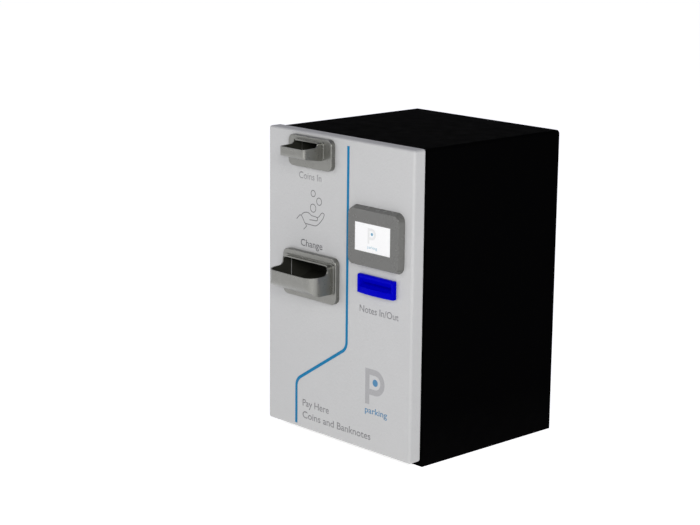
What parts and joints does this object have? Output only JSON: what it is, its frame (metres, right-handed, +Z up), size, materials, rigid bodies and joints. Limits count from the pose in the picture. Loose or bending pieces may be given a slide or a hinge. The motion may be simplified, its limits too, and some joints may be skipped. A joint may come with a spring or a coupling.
{
  "type": "parking pay station",
  "caption": "Compact automatic cash pay unit for a car park: steel cabinet with a thick hinged front door carrying a coin tray, change cup, small touch screen and banknote bezel.",
  "frame": {"origin": "centre of the cabinet's bottom face", "axes": "+Z up, -Y towards the user, +X to the user's right"},
  "size_m": [0.4, 0.4645, 0.6045],
  "materials": {
    "cabinet_black": "black powder coat",
    "door_grey": "light grey fine powder coat",
    "stripe_blue": "satin film",
    "cup_metal": "cast, satin grey",
    "display_grey": "moulded grey",
    "bezel_blue": "translucent blue",
    "screen_glass": "clear touch glass",
    "screen_panel": "lit screen",
    "board_green": "circuit board",
    "zinc_steel": "zinc plated",
    "fastener_steel": "bright",
    "lock_chrome": "nickel plated",
    "seal_rubber": "soft black",
    "inlet_black": "moulded black",
    "supply_metal": "grey case",
    "unit_plastic": "moulded dark grey",
    "disc_plastic": "acetal",
    "motor_steel": "drawn can",
    "belt_rubber": "belt",
    "box_steel": "dark grey paint",
    "handle_steel": "plated rod"
  },
  "bodies": {
    "cabinet": {"cabinet_shell": "cabinet_black", "rear_ring": "cabinet_black", "base_plate": "cabinet_black", "front_frame": "cabinet_black", "door_seal": "seal_rubber", "rear_panel": "cabinet_black", "rear_panel_screws": "fastener_steel", "cable_grommet": "seal_rubber", "module_shelf": "zinc_steel", "cabinet_hinge_leaves": "cabinet_black", "hinge_pins": "cabinet_black", "lock_housing": "lock_chrome", "lock_nut": "fastener_steel", "power_inlet": "inlet_black", "power_supply": "supply_metal", "control_board": "board_green", "board_standoffs": "fastener_steel", "coin_unit_case": "unit_plastic", "coin_unit_cover": "unit_plastic", "coin_funnel": "zinc_steel", "coin_validator": "unit_plastic", "hopper_frame": "zinc_steel", "hopper_motor": "motor_steel", "coin_bowl": "unit_plastic", "payout_chute": "zinc_steel", "note_unit_case": "unit_plastic", "note_unit_cover": "unit_plastic", "note_frame": "zinc_steel", "note_lower_guide": "zinc_steel", "note_upper_guide": "zinc_steel", "note_motor": "motor_steel", "note_belt": "belt_rubber", "cashbox_tray": "zinc_steel", "cashbox_guides": "zinc_steel"},
    "door": {"door_panel": "door_grey", "door_backplate": "zinc_steel", "door_screws": "fastener_steel", "blue_stripe": "stripe_blue", "coin_tray": "cup_metal", "change_cup": "cup_metal", "coin_chute": "zinc_steel", "change_throat": "zinc_steel", "display_frame": "display_grey", "display_glass": "screen_glass", "display_module": "screen_panel", "display_board": "board_green", "note_bezel": "bezel_blue", "door_hinge_leaves": "cabinet_black", "latch_bracket": "zinc_steel"},
    "lock": {"lock_barrel": "lock_chrome", "lock_cam": "zinc_steel"},
    "rocker": {"rocker_button": "inlet_black"},
    "hopper": {"hopper_disc": "disc_plastic"},
    "front_roller": {"front_feed_roller": "disc_plastic"},
    "rear_roller": {"rear_feed_roller": "disc_plastic"},
    "note_drive": {"motor_pulley": "disc_plastic"},
    "note_box": {"note_cashbox": "box_steel", "note_box_handle": "handle_steel"},
    "coin_box": {"coin_cashbox": "box_steel", "coin_box_handle": "handle_steel"}
  },
  "joints": [
    {"name": "door_hinge", "type": "hinge", "parent": "cabinet", "child": "door", "pos_m": [0.196, -0.1852, 0.31], "axis": [0, 0, 1], "range_deg": [0, 110]},
    {"name": "lock_turn", "type": "hinge", "parent": "cabinet", "child": "lock", "pos_m": [-0.178, -0.15, 0.3], "axis": [-1, 0, 0], "range_deg": [0, 90]},
    {"name": "power_rocker", "type": "hinge", "parent": "cabinet", "child": "rocker", "pos_m": [-0.0475, 0.174, 0.215], "axis": [-1, 0, 0], "range_deg": [0, 12]},
    {"name": "hopper_spin", "type": "hinge", "parent": "cabinet", "child": "hopper", "pos_m": [-0.0708, -0.07, 0.432], "axis": [0, 1, 0], "continuous": true},
    {"name": "front_roller_spin", "type": "hinge", "parent": "cabinet", "child": "front_roller", "pos_m": [0.11, -0.11, 0.3288], "axis": [1, 0, 0], "continuous": true},
    {"name": "rear_roller_spin", "type": "hinge", "parent": "cabinet", "child": "rear_roller", "pos_m": [0.11, -0.02, 0.3288], "axis": [1, 0, 0], "continuous": true},
    {"name": "note_drive_spin", "type": "hinge", "parent": "cabinet", "child": "note_drive", "pos_m": [0.15, -0.065, 0.31], "axis": [1, 0, 0], "continuous": true},
    {"name": "note_box_slide", "type": "slide", "parent": "cabinet", "child": "note_box", "axis": [0, -1, 0], "range_m": [0, 0.06]},
    {"name": "coin_box_slide", "type": "slide", "parent": "cabinet", "child": "coin_box", "axis": [0, -1, 0], "range_m": [0, 0.06]}
  ],
  "couplings": [
    {"joint": "rear_roller_spin", "follows": "front_roller_spin", "ratio": 1},
    {"joint": "note_drive_spin", "follows": "front_roller_spin", "ratio": 1.3333}
  ]
}
